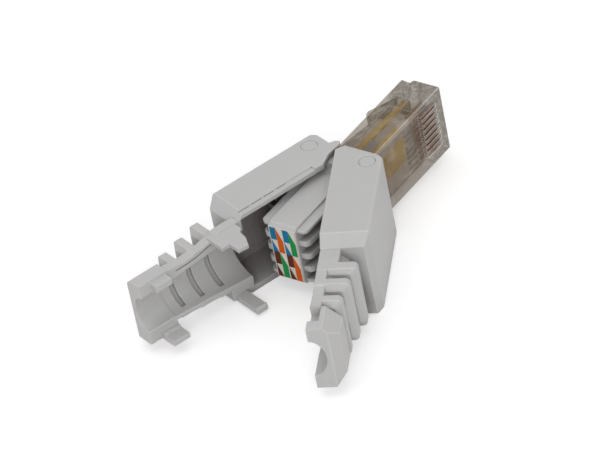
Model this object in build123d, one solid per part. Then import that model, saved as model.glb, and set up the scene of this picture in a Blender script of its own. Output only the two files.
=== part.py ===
from build123d import *
import os
from math import radians, tan

# Tool-free eight-way modular plug: a clear nose with eight blade contacts, a white centre body
# with the wire combs, and two hinged wings that close over it and form the strain-relief boot.
# Frame: X forward to the nose, Y left to the latch, Z up along the hinge pins, in millimetres.
# The origin is on the nose's front face, on the line where the closed wings meet.
# The two wings are drawn closed, as halves of one boot, and then swung open about their pins.

# Clear nose, to the standard modular jack
NOSE_WIDTH = 11.68
NOSE_DEPTH = 6.6
NOSE_LENGTH = 20.0
NOSE_OFFSET = -0.95
NOSE_WALL = 0.7
NOSE_SIDE_WALL = 1.3
NOSE_EDGE = 0.15
FRONT_STEP_BACK = 0.7
FRONT_STEP_DEPTH = 2.0
FRONT_STEP_UNDERCUT = 0.18
FRONT_STEP_SLOPE = 0.3

# Contacts
CONTACT_COUNT = 8
CONTACT_PITCH = 1.02
CONTACT_THICK = 0.46
CONTACT_REACH = 3.95
CONTACT_FRONT = 1.85
CONTACT_CROWN = 0.35
CONTACT_FOOT = 0.3
CONTACT_FOOT_LENGTH = 0.9
CONTACT_FOOT_BACK = 1.0
SLOT_WIDTH = 0.58
SLOT_FRONT = 1.7
SLOT_LENGTH = 4.0
SLOT_DEPTH = 0.9

# Circuit boards
BOARD_THICK = 1.0
BOARD_HEIGHT = 8.8
BOARD_SPACE = 1.8
BOARD_SHIFT = 1.3
BOARD_CLIP = 0.6
BOARD_FRONT = 3.0
BOARD_INTO_BODY = 1.5
BOARD_PAST_FORKS = 1.8
BOARD_FIT = 0.05

# Hinges
HINGE_BEHIND_NOSE = 1.6
HINGE_Y = 5.3
PIN_RADIUS = 1.25
PIN_CLEARANCE = 0.05
PIN_ROOT = 0.2
RIGHT_OPEN = 27.0
LEFT_OPEN = 18.0

# Wings, and the lobe on the left one as offsets forward of the pin and out from the seam
WING_HEIGHT = 14.6
PLATE_THICK = 1.0
SIDE_WALL = 0.9
SIDE_OFFSET = 2.25
LEFT_LOBE = [(-1.4, 0), (0.7, 1.35), (2.1, 1.7), (3.2, 1.95), (3.75, 2.5), (3.3, 3.1), (2.4, 3.4)]
LEFT_CORNER = 1.1
LEFT_CORNER_RUN = 0.9
RIGHT_REACH = 4.3
RIGHT_INNER = -3.9
RIGHT_NIP = 0.8
FRONT_CORNER = 0.9
LIP_WIDTH = 0.9
LIP_DROP = 0.22
LIP_BACK = 1.2
LIP_FRONT = 3.0
WING_LENGTH = 18.5
REAR_WALL = 1.0
SEAM_GAP = 0.03
REAR_TOP_CHAMFER = 1.65
REAR_BOTTOM_CHAMFER = 0.3
REAR_SIDE_CHAMFER = 1.7
REAR_SIDE_DEPTH = 0.9
WALL_FRONT = 0.8
EDGE_ROUND = 0.4

# Boot
TUBE_RADIUS_FRONT = 5.2
TUBE_RADIUS_BACK = 3.95
BORE_RADIUS_FRONT = 4.4
BORE_RADIUS_BACK = 3.3
FIN_COUNT = 3
FIN_BEHIND_BOX = 3.3
FIN_PITCH = 3.6
FIN_CREST = 1.2
FIN_FLANK = 0.65
FIN_RISE = 1.0
FIN_HALF_HEIGHT = 5.7
FIN_HALF_WIDTH = 6.05
FIN_STEP_HEIGHT = 0.25
FIN_STEP_WIDTH = 0.75
FIN_CORNER = 0.9
FIN_RELIEF = 2.8
GRIP_GROOVE_WIDTH = 0.9
GRIP_GROOVE_DEPTH = 0.7
GRIP_GROOVE_SETBACK = 1.2
SPINE_WIDTH = 1.65
SPINE_FALL = 5.35
SPINE_LOW = 5.05
LEFT_PLATE = 6.35
RIGHT_LEDGE = 5.45
RIGHT_LEDGE_WIDTH = 3.1
BLOCK_BEHIND_FIN = 2.8
BLOCK_LENGTH = 5.3
BLOCK_HEIGHT = 11.0
BLOCK_WIDTH = 9.2
BLOCK_TOP_CORNER = 2.2
BLOCK_BOTTOM_CORNER = 1.6
BLOCK_END_CHAMFER = 1.5
CABLE_HOLE_HEIGHT = 6.4
CABLE_HOLE_WIDTH = 4.6

# Snap tabs on the left wing, with their recesses in the right wing
HOOK_BEHIND_BOX = 0.7
HOOK_WIDTH = 2.0
HOOK_REACH = 5.4
HOOK_TOP = -6.0
HOOK_THICK = 0.85
HOOK_BARB = 0.2
HOOK_SWING = 2.4
HEEL_END = 3.1
TONGUE_BEHIND_BOX = 0.15
TONGUE_OUTLINE = [(0, 1.6), (0.7, 2.3), (0.9, 3.9), (1.7, 5.6), (3.5, 5.4), (3.5, 3.2), (4.9, 3.2)]
TONGUE_THICK = 0.7
END_TAB_BEHIND_FIN = 3.0
END_TAB_WIDTH = 3.0
END_TAB_REACH = 3.1
END_TAB_STEP = 0.4
END_TAB_STEP_REACH = 0.9
END_TAB_THICK = 0.8
KEY_BEHIND_FIN = 3.0
KEY_WIDTH = 3.0
KEY_REACH = 1.5
KEY_THICK = 1.1
KEY_TOP = 5.0
TAB_CLEARANCE = 0.15
TAB_ROOT = 0.8

# Centre body and wire combs, as distances behind the nose
LINK_BAR_THICK = 1.25
LINK_CLEARANCE = 0.15
LINK_ROOT = 0.4
BULKHEAD_THICK = 2.6
BULKHEAD_ROOT = 1.2
TONGUE_INTO_NOSE = 6.4
BLOCK_BACK_BEHIND = 17.8
SPINE_BLOCK_WIDTH = 5.0
SPINE_BLOCK_HEIGHT = 10.4
COMB_PITCH = 2.4
COMB_RIB = 0.9
COMB_REACH = 4.1
COMB_END_RADIUS = 0.9
COMB_INSET = 0.5
COMB_FRONT_BEHIND = 4.6
COMB_DROP = 0.35
BLOCK_TOP_CHAMFER = 0.5
BLOCK_EDGE = 0.25
FORKS_BEHIND = 8.6
IDC_THICK = 0.4
IDC_WIDTH = 1.3
IDC_REACH = 3.9
IDC_SLOT = 0.36
IDC_SLOT_DEPTH = 1.5
IDC_TIP = 0.3
PUSHER_THICK = 0.9
PUSHER_LENGTH = 1.4
PUSHER_TIP = 3.1
PUSHER_SPACE = 0.7

# Colour label
LABEL_THICK = 0.12
LABEL_WIDTH = 4.7
LABEL_HEIGHT = 9.6
LABEL_CORNER = 0.3

# Latch
LATCH_PIVOT_X = -2.6
LATCH_PIVOT_Y = 3.0
LATCH_ROOT = 0.5
LATCH_ROOT_FIT = 0.04
LATCH_SEAT_TOP = 0.4
LATCH_SEAT_FRONT = 1.1
LATCH_SHOULDER_X = -7.3
LATCH_SHOULDER_Y = 5.2
LATCH_TAIL_X = -14.6
LATCH_TAIL_Y = 5.75
LATCH_THICK = 0.9
LATCH_WIDE = 6.2
LATCH_NARROW = 3.25
LATCH_STEP = 0.55
LATCH_TAIL_ROOT = 1.5

# How far a cutting shape runs past a face, and how far joined shapes share
PAST = 1.0
JOIN = 0.1

# Values worked out from the ones above
WING_TOP = WING_HEIGHT / 2
PLATE_INSIDE = WING_TOP - PLATE_THICK
WALL_INSIDE = SIDE_OFFSET - SIDE_WALL
SEAM = SEAM_GAP - HINGE_Y
HINGE_X = -NOSE_LENGTH - HINGE_BEHIND_NOSE
NOSE_LATCH_FACE = NOSE_OFFSET + NOSE_DEPTH / 2
NOSE_CONTACT_FACE = NOSE_OFFSET - NOSE_DEPTH / 2
SLOT_BACK = SLOT_FRONT + SLOT_LENGTH
SLOT_FLOOR = NOSE_CONTACT_FACE + SLOT_DEPTH
CONTACT_BOARD_Y = -BOARD_SPACE / 2 - BOARD_THICK - BOARD_SHIFT
LINK_BOARD_Y = CONTACT_BOARD_Y + BOARD_THICK + BOARD_SPACE
LINK_TOP = PLATE_INSIDE - LINK_CLEARANCE
LINK_BOTTOM = LINK_TOP - LINK_BAR_THICK
BULKHEAD_BACK = NOSE_LENGTH + BULKHEAD_THICK
BLOCK_BACK = NOSE_LENGTH + BLOCK_BACK_BEHIND
COMB_BACK = BLOCK_BACK - COMB_INSET
COMB_FRONT = NOSE_LENGTH + COMB_FRONT_BEHIND
IDC_X = NOSE_LENGTH + FORKS_BEHIND
CONTACT_BOARD_BACK = NOSE_LENGTH + BOARD_INTO_BODY
LINK_BOARD_BACK = IDC_X + BOARD_PAST_FORKS
FIN_START = WING_LENGTH + FIN_BEHIND_BOX
LAST_FIN = FIN_START + FIN_PITCH * (FIN_COUNT - 1)
BLOCK_START = LAST_FIN + BLOCK_BEHIND_FIN
BLOCK_END = BLOCK_START + BLOCK_LENGTH
HOOK_START = WING_LENGTH + HOOK_BEHIND_BOX
HEEL_WIDTH = HOOK_REACH - 2 * HOOK_BARB - TAB_CLEARANCE
HEEL_BOTTOM = HOOK_TOP - HOOK_THICK
TONGUE_START = WING_LENGTH + TONGUE_BEHIND_BOX
TONGUE_UNDER = RIGHT_LEDGE + TAB_CLEARANCE
END_TAB_START = LAST_FIN + END_TAB_BEHIND_FIN
END_TAB_TOP = END_TAB_THICK - BLOCK_HEIGHT / 2
KEY_START = LAST_FIN + KEY_BEHIND_FIN
COMB_LEVELS = [COMB_PITCH * step for step in (-2, -1, 0, 1, 2)]
WIRE_LEVELS = [COMB_PITCH * (step - 1.5) for step in range(4)]


def brick(x0, x1, y0, y1, z0, z1):
    """A box between two corners, for pockets, ribs and tabs."""
    size = Box(abs(x1 - x0), abs(y1 - y0), abs(z1 - z0))
    return Pos((x0 + x1) / 2, (y0 + y1) / 2, (z0 + z1) / 2) * size


def prism(points, z0, z1):
    """A plan outline of X and Y points, raised from z0 to z1."""
    face = make_face(Polyline(*points, close=True))
    return Pos(0, 0, z0) * extrude(face, z1 - z0)


def section_at(x):
    """The plane of a Y and Z section at the distance given along X."""
    return Plane(origin=(x, 0, 0), x_dir=(0, 1, 0), z_dir=(1, 0, 0))


def across(profile, x0, x1):
    """A Y and Z section, carried along X from x0 to x1."""
    return extrude(section_at(x0) * profile, x1 - x0)


def rod(radius, x0, x1, y, z=0.0):
    """A round bar along X."""
    return across(Pos(y, z) * Circle(radius), x0, x1)


def nose_shell():
    """The clear nose: a squared bar, slotted at the front and hollow at the back."""
    section = RectangleRounded(NOSE_DEPTH, NOSE_WIDTH, NOSE_EDGE)
    shell = across(Pos(NOSE_OFFSET, 0) * section, -NOSE_LENGTH, 0)
    front = shell.faces().sort_by(Axis.X)[-1]
    shell = chamfer(front.edges(), NOSE_EDGE)
    half = NOSE_WIDTH / 2
    inside = half - NOSE_SIDE_WALL
    shell -= prism(front_step(), -half - PAST, half + PAST)
    shell -= brick(
        -NOSE_LENGTH - PAST,
        -SLOT_BACK,
        NOSE_CONTACT_FACE + NOSE_WALL,
        NOSE_LATCH_FACE - NOSE_WALL,
        -inside,
        inside,
    )
    board = BOARD_HEIGHT / 2 + BOARD_FIT
    for low_y in (CONTACT_BOARD_Y, LINK_BOARD_Y):
        shell -= brick(
            -SLOT_BACK - PAST,
            -BOARD_FRONT + BOARD_FIT,
            low_y - BOARD_FIT,
            low_y + BOARD_THICK + BOARD_FIT,
            -board,
            board,
        )
    slot = brick(
        -SLOT_BACK - JOIN,
        -SLOT_FRONT,
        NOSE_CONTACT_FACE - PAST,
        SLOT_FLOOR,
        -SLOT_WIDTH / 2,
        SLOT_WIDTH / 2,
    )
    root = brick(
        -SLOT_BACK - JOIN,
        -BOARD_FRONT + BOARD_FIT,
        SLOT_FLOOR - JOIN,
        CONTACT_BOARD_Y,
        -SLOT_WIDTH / 2,
        SLOT_WIDTH / 2,
    )
    for number in range(CONTACT_COUNT):
        level = CONTACT_PITCH * (number - (CONTACT_COUNT - 1) / 2)
        shell -= Pos(0, 0, level) * (slot + root)
    return shell + latch_seat()


def front_step():
    """The notch along the nose's front edge on the latch side, undercut at its foot."""
    front_y = NOSE_LATCH_FACE - FRONT_STEP_DEPTH
    return [
        (-FRONT_STEP_BACK, NOSE_LATCH_FACE + PAST),
        (-FRONT_STEP_BACK, NOSE_LATCH_FACE),
        (-FRONT_STEP_BACK - FRONT_STEP_UNDERCUT, front_y + FRONT_STEP_SLOPE),
        (0, front_y),
        (PAST, front_y),
        (PAST, NOSE_LATCH_FACE + PAST),
    ]


def latch_seat():
    """The moulded seat on the latch face that the latch's root flexes in."""
    seat = [
        (LATCH_PIVOT_X, NOSE_LATCH_FACE - JOIN),
        (LATCH_PIVOT_X, LATCH_PIVOT_Y + LATCH_SEAT_TOP),
        (LATCH_PIVOT_X + LATCH_ROOT + LATCH_SEAT_TOP, LATCH_PIVOT_Y + LATCH_SEAT_TOP / 2),
        (LATCH_PIVOT_X + LATCH_SEAT_FRONT, NOSE_LATCH_FACE - JOIN),
    ]
    pad = prism(seat, -LATCH_WIDE / 2, LATCH_WIDE / 2)
    socket = Cylinder(LATCH_ROOT + LATCH_ROOT_FIT, LATCH_WIDE + PAST)
    return pad - Pos(LATCH_PIVOT_X, LATCH_PIVOT_Y, 0) * socket


def latch():
    """The release latch: wide to its locking shoulders, then a narrow tail."""
    root_half = LATCH_THICK / 3
    under = LATCH_SHOULDER_Y - LATCH_THICK
    tail_front = LATCH_SHOULDER_X + LATCH_TAIL_ROOT
    wide = [
        (LATCH_PIVOT_X, LATCH_PIVOT_Y - root_half),
        (LATCH_SHOULDER_X, under - JOIN),
        (LATCH_SHOULDER_X, LATCH_SHOULDER_Y - JOIN),
        (LATCH_SHOULDER_X + LATCH_TAIL_ROOT / 2, LATCH_SHOULDER_Y),
        (LATCH_PIVOT_X, LATCH_PIVOT_Y + root_half),
    ]
    tail = [
        (tail_front, under - LATCH_TAIL_ROOT / 2),
        (LATCH_TAIL_X, LATCH_TAIL_Y - LATCH_THICK),
        (LATCH_TAIL_X - root_half, LATCH_TAIL_Y - LATCH_THICK / 2),
        (LATCH_TAIL_X, LATCH_TAIL_Y),
        (LATCH_SHOULDER_X - LATCH_STEP, LATCH_SHOULDER_Y - LATCH_STEP),
        (tail_front, LATCH_SHOULDER_Y - LATCH_STEP),
    ]
    body = prism(wide, -LATCH_WIDE / 2, LATCH_WIDE / 2)
    body += prism(tail, -LATCH_NARROW / 2, LATCH_NARROW / 2)
    body += Pos(LATCH_PIVOT_X, LATCH_PIVOT_Y, 0) * Cylinder(LATCH_ROOT, LATCH_WIDE)
    return body


def contact(level):
    """One blade contact: a foot on the board and a crowned blade in its slot."""
    face = CONTACT_BOARD_Y
    back = SLOT_BACK + CONTACT_FOOT_BACK
    floor = SLOT_FLOOR - JOIN
    foot_front = -BOARD_FRONT - CONTACT_FOOT
    crown_back = -SLOT_BACK + CONTACT_CROWN
    blade = [
        (-back, face),
        (-back, face - CONTACT_FOOT),
        (-back + CONTACT_FOOT_LENGTH, face - CONTACT_FOOT),
        (crown_back, -CONTACT_REACH + CONTACT_CROWN),
        (crown_back + CONTACT_CROWN, -CONTACT_REACH),
        (-CONTACT_FRONT - CONTACT_CROWN, -CONTACT_REACH),
        (-CONTACT_FRONT, -CONTACT_REACH + CONTACT_CROWN),
        (-CONTACT_FRONT, floor),
        (foot_front, floor),
        (foot_front, face),
    ]
    return Pos(0, 0, level) * prism(blade, -CONTACT_THICK / 2, CONTACT_THICK / 2)


def board(back, low_y):
    """One circuit board, with its front corners clipped."""
    half = BOARD_HEIGHT / 2
    outline = Polyline(
        (-back, -half),
        (-BOARD_FRONT - BOARD_CLIP, -half),
        (-BOARD_FRONT, -half + BOARD_CLIP),
        (-BOARD_FRONT, half - BOARD_CLIP),
        (-BOARD_FRONT - BOARD_CLIP, half),
        (-back, half),
        close=True,
    )
    plane = Plane(origin=(0, low_y, 0), x_dir=(1, 0, 0), z_dir=(0, -1, 0))
    return extrude(plane * make_face(outline), -BOARD_THICK)


def centre_body():
    """The fixed white body: hinge bars and pins, bulkhead, wire block and combs."""
    half_block = SPINE_BLOCK_HEIGHT / 2
    half_wide = SPINE_BLOCK_WIDTH / 2
    section = chamfer(Rectangle(SPINE_BLOCK_WIDTH, SPINE_BLOCK_HEIGHT).vertices(), BLOCK_EDGE)
    body = across(section, -BLOCK_BACK, -BULKHEAD_BACK)
    rear = body.faces().sort_by(Axis.X)[0].edges().filter_by(Axis.Y)
    body = chamfer(rear, BLOCK_TOP_CHAMFER)
    body += brick(
        -BULKHEAD_BACK - BULKHEAD_ROOT,
        -NOSE_LENGTH - BOARD_FIT,
        NOSE_CONTACT_FACE,
        NOSE_LATCH_FACE,
        -LINK_BOTTOM,
        LINK_BOTTOM,
    )
    bar = SlotCenterToCenter(2 * HINGE_Y, 2 * PIN_RADIUS, rotation=90)
    for side in (-1, 1):
        foot = side * (LINK_BOTTOM - LINK_ROOT)
        body += Pos(HINGE_X, 0, foot) * extrude(bar, side * (LINK_TOP - LINK_BOTTOM + LINK_ROOT))
        for hand in (-1, 1):
            pin = Cylinder(PIN_RADIUS, WING_TOP - LINK_TOP + PIN_ROOT)
            height = side * (WING_TOP + LINK_TOP - PIN_ROOT) / 2
            body += Pos(HINGE_X, hand * HINGE_Y, height) * pin
    body += front_tongue()
    for level in COMB_LEVELS:
        body += comb_rib(level)
    for low_y, back in ((CONTACT_BOARD_Y, CONTACT_BOARD_BACK), (LINK_BOARD_Y, LINK_BOARD_BACK)):
        body -= brick(
            -back - BOARD_FIT,
            -BOARD_FRONT,
            low_y - BOARD_FIT,
            low_y + BOARD_THICK + BOARD_FIT,
            -BOARD_HEIGHT / 2 - BOARD_FIT,
            BOARD_HEIGHT / 2 + BOARD_FIT,
        )
    for level in WIRE_LEVELS:
        for hand in (-1, 1):
            body -= brick(
                -IDC_X - IDC_THICK / 2 - BOARD_FIT,
                -IDC_X + IDC_THICK / 2 + BOARD_FIT,
                hand * (board_face(hand) - JOIN),
                hand * (half_wide + JOIN),
                level - IDC_WIDTH / 2 - BOARD_FIT,
                level + IDC_WIDTH / 2 + BOARD_FIT,
            )
    for side in (-1, 1):
        for hand in (-1, 1):
            body -= brick(
                -BLOCK_BACK - PAST,
                -COMB_FRONT + PAST,
                hand * half_wide,
                hand * (COMB_REACH + PAST),
                side * (half_block - COMB_DROP),
                side * (half_block + PAST),
            )
    return body


def board_face(hand):
    """How far the link board's face lies from the middle, on the side given."""
    if hand < 0:
        return -LINK_BOARD_Y
    return LINK_BOARD_Y + BOARD_THICK


def front_tongue():
    """The tongue between the two boards that plugs the body into the nose."""
    low = CONTACT_BOARD_Y + BOARD_THICK + BOARD_FIT
    high = LINK_BOARD_Y - BOARD_FIT
    half = BOARD_HEIGHT / 2
    tongue = brick(-NOSE_LENGTH - PAST, -NOSE_LENGTH + TONGUE_INTO_NOSE, low, high, -half, half)
    tip = tongue.faces().sort_by(Axis.X)[-1].edges()
    return chamfer(tip, BLOCK_EDGE)


def comb_rib(level):
    """One rib of the wire combs, with rounded ends, through both sides of the block."""
    length = COMB_BACK - COMB_FRONT
    outline = RectangleRounded(length, 2 * COMB_REACH, COMB_END_RADIUS)
    middle = -(COMB_BACK + COMB_FRONT) / 2
    rib = extrude(outline, COMB_RIB)
    return Pos(middle, 0, level - COMB_RIB / 2) * rib


def wire_contact(level, hand):
    """One insulation-piercing fork, standing on the board and open to the side."""
    inner = board_face(hand)
    half = IDC_WIDTH / 2
    gap = IDC_SLOT / 2
    shoulder = IDC_REACH - IDC_TIP
    throat = IDC_REACH - IDC_SLOT_DEPTH
    points = [
        (inner, -half),
        (shoulder, -half),
        (IDC_REACH, -half + IDC_TIP),
        (shoulder, -gap),
        (throat, -gap),
        (throat, gap),
        (shoulder, gap),
        (IDC_REACH, half - IDC_TIP),
        (shoulder, half),
        (inner, half),
    ]
    outline = [(hand * y, level + z) for y, z in points]
    face = make_face(Polyline(*outline, close=True))
    return across(face, -IDC_X - IDC_THICK / 2, -IDC_X + IDC_THICK / 2)


def colour_label():
    """The thin wiring-code label on the block's back face."""
    outline = RectangleRounded(LABEL_WIDTH, LABEL_HEIGHT, LABEL_CORNER)
    return across(outline, -BLOCK_BACK - LABEL_THICK, -BLOCK_BACK)


# The wings below are drawn about their own pin: X forward of it, Y outward from it.

def left_plan():
    """The left wing's plan, square at the front with a lobe beside the seam."""
    front = LEFT_LOBE[-1][0]
    plan = [(-WING_LENGTH, SEAM)]
    plan += [(forward, SEAM + out) for forward, out in LEFT_LOBE]
    plan += [
        (front, SIDE_OFFSET - LEFT_CORNER),
        (front - LEFT_CORNER_RUN, SIDE_OFFSET),
        (-WING_LENGTH + REAR_SIDE_CHAMFER, SIDE_OFFSET),
        (-WING_LENGTH, SIDE_OFFSET - REAR_SIDE_DEPTH),
    ]
    return plan


def right_plan():
    """The right wing's plan, with a front edge that squares up when the wing is open."""
    slope = tan(radians(RIGHT_OPEN))
    outer = SIDE_OFFSET - FRONT_CORNER
    corner = RIGHT_REACH - slope * (outer - RIGHT_INNER)
    return [
        (-WING_LENGTH, SEAM),
        (RIGHT_REACH - RIGHT_NIP, SEAM),
        (RIGHT_REACH, RIGHT_INNER),
        (corner, outer),
        (corner - FRONT_CORNER, SIDE_OFFSET),
        (-WING_LENGTH + REAR_SIDE_CHAMFER, SIDE_OFFSET),
        (-WING_LENGTH, SIDE_OFFSET - REAR_SIDE_DEPTH),
    ]


def wing_box(plan):
    """A wing's box: two plates, a side wall and a rear wall, open at the seam."""
    top = WING_TOP
    far = WING_LENGTH
    side_view = make_face(
        Polyline(
            (-WING_LENGTH, -top + REAR_BOTTOM_CHAMFER),
            (-WING_LENGTH + REAR_BOTTOM_CHAMFER, -top),
            (far, -top),
            (far, top),
            (-WING_LENGTH + REAR_TOP_CHAMFER, top),
            (-WING_LENGTH, top - REAR_TOP_CHAMFER),
            close=True,
        )
    )
    envelope = extrude(Plane.XZ * side_view, far, both=True)
    box = prism(plan, -top, top) & envelope
    long_edges = box.edges().filter_by(Axis.X).group_by(Axis.Y)[-1]
    box = fillet(long_edges, EDGE_ROUND)
    cavity = brick(
        -WING_LENGTH + REAR_WALL,
        far,
        SEAM - PAST,
        WALL_INSIDE,
        -PLATE_INSIDE,
        PLATE_INSIDE,
    )
    mouth = brick(WALL_FRONT, far, -far, far, -PLATE_INSIDE, PLATE_INSIDE)
    box -= cavity + mouth
    hole = Cylinder(PIN_RADIUS + PIN_CLEARANCE, WING_HEIGHT + PAST)
    return box - hole


def boot_fin(number):
    """One bellows fin: a straight crest with a sloping flank on each side."""
    half_y = FIN_HALF_WIDTH - FIN_STEP_WIDTH * number
    half_z = FIN_HALF_HEIGHT - FIN_STEP_HEIGHT * number
    crest = RectangleRounded(2 * half_y, 2 * half_z, FIN_CORNER)
    foot = RectangleRounded(2 * (half_y - FIN_RISE), 2 * (half_z - FIN_RISE), FIN_CORNER / 2)
    front = -FIN_START - FIN_PITCH * number
    back = front - FIN_CREST
    fin = across(crest, back, front)
    for near, far in ((front, front + FIN_FLANK), (back, back - FIN_FLANK)):
        fin += loft([section_at(near) * crest, section_at(far) * foot])
    relief = [
        (0, -tube_radius(-front)),
        (FIN_RELIEF, -half_z - JOIN),
        (-FIN_RELIEF, -half_z - JOIN),
    ]
    relief_face = make_face(Polyline(*relief, close=True))
    return fin - across(relief_face, back - FIN_FLANK - JOIN, front + FIN_FLANK + JOIN)


def tube_radius(distance):
    """Outer radius of the boot's tube, at a distance behind the pin."""
    run = (distance - WING_LENGTH) / (BLOCK_START - WING_LENGTH)
    return TUBE_RADIUS_FRONT + (TUBE_RADIUS_BACK - TUBE_RADIUS_FRONT) * run


def boot_spine(plate):
    """The flat strip over the tube, beside the seam, that ties the fins together."""
    start = WING_LENGTH - REAR_WALL / 2
    end = BLOCK_START + JOIN
    low = BORE_RADIUS_BACK + JOIN
    outline = [
        (-start, low),
        (-start, plate),
        (-FIN_START, plate),
        (-FIN_START - FIN_PITCH, min(SPINE_FALL, plate)),
        (-LAST_FIN, SPINE_LOW),
        (-end, BLOCK_HEIGHT / 2 - JOIN),
        (-end, low),
    ]
    face = make_face(Polyline(*outline, close=True))
    return extrude(Plane.XZ * face, SPINE_WIDTH, both=True)


def boot_heel():
    """The heel under the tube, behind the box, that the hook belongs to."""
    return brick(
        -WING_LENGTH - HEEL_END,
        -WING_LENGTH + REAR_WALL / 2,
        -HEEL_WIDTH,
        HEEL_WIDTH,
        HEEL_BOTTOM,
        -BORE_RADIUS_FRONT,
    )


def boot_ledge():
    """The ledge above the right half's tube that the left wing's tongue lies on."""
    return brick(
        -FIN_START,
        -WING_LENGTH + REAR_WALL / 2,
        -RIGHT_LEDGE_WIDTH,
        RIGHT_LEDGE_WIDTH,
        BORE_RADIUS_FRONT,
        RIGHT_LEDGE,
    )


def end_block():
    """The eight-sided block that ends the boot, with its rear side edges cut."""
    section = Rectangle(BLOCK_WIDTH, BLOCK_HEIGHT)
    section = chamfer(section.vertices().group_by(Axis.Y)[-1], BLOCK_TOP_CORNER)
    section = chamfer(section.vertices().group_by(Axis.Y)[0], BLOCK_BOTTOM_CORNER)
    block = across(section, -BLOCK_END, -BLOCK_START)
    rim = block.faces().sort_by(Axis.X)[0].edges().filter_by(Axis.Z)
    return chamfer(rim, BLOCK_END_CHAMFER)


def boot_tube():
    """The plain tapered tube under the fins, from the box to the end block."""
    front = WING_LENGTH - REAR_WALL
    back = BLOCK_START + JOIN
    ends = [section_at(-distance) * Circle(tube_radius(distance)) for distance in (front, back)]
    return loft(ends)


def whole_boot(plate):
    """The boot about the cable's axis, before it is split into two halves."""
    boot = boot_tube()
    for number in range(FIN_COUNT):
        boot += boot_fin(number)
    return boot + boot_spine(plate) + boot_heel() + end_block()


def boot_bore():
    """The cable's way through the boot: tapered, with grip grooves and a flared end."""
    run = BLOCK_START - WING_LENGTH + REAR_WALL
    taper = (BORE_RADIUS_FRONT - BORE_RADIUS_BACK) / run
    front = -WING_LENGTH + REAR_WALL + JOIN
    narrow = section_at(-BLOCK_START - JOIN) * Circle(BORE_RADIUS_BACK)
    bore = loft([section_at(front) * Circle(BORE_RADIUS_FRONT), narrow])
    for number in range(FIN_COUNT):
        middle = -FIN_START - FIN_PITCH * number - FIN_CREST / 2
        near = middle + GRIP_GROOVE_WIDTH / 2
        far = middle - GRIP_GROOVE_WIDTH / 2
        radius = BORE_RADIUS_FRONT - taper * (front - middle) + GRIP_GROOVE_DEPTH
        outer = brick(far, near, GRIP_GROOVE_SETBACK, radius, -radius, GRIP_GROOVE_SETBACK)
        bore += rod(radius, far, near, 0) & outer
    mouth = Ellipse(CABLE_HOLE_WIDTH / 2, CABLE_HOLE_HEIGHT / 2)
    neck = Circle(BORE_RADIUS_BACK - JOIN)
    flare = loft([section_at(-BLOCK_START) * neck, section_at(-BLOCK_END - JOIN) * mouth])
    return bore + flare


def half_boot(boot):
    """Half of a boot, on the outward side of the seam, about the wing's pin."""
    keep = brick(-BLOCK_END - PAST, 0, SEAM_GAP, WING_TOP, -WING_TOP, WING_TOP)
    return Pos(0, -HINGE_Y, 0) * (boot & keep)


def pushers():
    """The pads inside a wing that press each wire into its fork."""
    pads = Part()
    inner = PUSHER_TIP - HINGE_Y
    forks = -IDC_X - HINGE_X
    space = (PUSHER_SPACE + IDC_THICK) / 2
    half = PUSHER_THICK / 2
    for level in WIRE_LEVELS:
        for near in (forks + space, forks - space - PUSHER_LENGTH):
            far = near + PUSHER_LENGTH
            pads += brick(near, far, inner, WALL_INSIDE + JOIN, level - half, level + half)
    return pads


def tab(start, width, reach, low, high):
    """A tab through the seam, rooted in the wing and reaching past the seam."""
    return brick(-start - width, -start, SEAM - reach, SEAM + TAB_ROOT, low, high)


def left_tabs():
    """The left wing's hook, tongue, end tab and end key."""
    tabs = tab(HOOK_START, HOOK_WIDTH, HOOK_REACH, HEEL_BOTTOM, HOOK_TOP)
    tip = SEAM - HOOK_REACH
    barb = [
        (tip, HOOK_TOP - JOIN),
        (tip + HOOK_BARB, HOOK_TOP + HOOK_BARB),
        (tip + 2 * HOOK_BARB, HOOK_TOP + HOOK_BARB),
        (tip + 2 * HOOK_BARB, HOOK_TOP - JOIN),
    ]
    barb_face = make_face(Polyline(*barb, close=True))
    tabs += across(barb_face, -HOOK_START - HOOK_WIDTH, -HOOK_START)
    plate = [(-TONGUE_START - back, SEAM - reach) for back, reach in TONGUE_OUTLINE]
    plate += [(plate[-1][0], SEAM + TAB_ROOT), (plate[0][0], SEAM + TAB_ROOT)]
    tabs += prism(plate, TONGUE_UNDER, TONGUE_UNDER + TONGUE_THICK)
    low = -BLOCK_HEIGHT / 2
    tabs += tab(END_TAB_START, END_TAB_WIDTH, END_TAB_REACH, low, END_TAB_TOP)
    step = END_TAB_TOP + END_TAB_STEP
    tabs += tab(END_TAB_START, END_TAB_WIDTH, END_TAB_STEP_REACH, low, step)
    tabs += tab(KEY_START, KEY_WIDTH, KEY_REACH, KEY_TOP - KEY_THICK, KEY_TOP)
    return tabs


def pocket(start, width, reach, low, high):
    """A pocket in the right wing for a tab of the size given, with room around it."""
    gap = TAB_CLEARANCE
    depth = SEAM + reach + 2 * SEAM_GAP + gap
    return brick(-start - width - gap, -start + gap, SEAM - PAST, depth, low, high)


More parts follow.
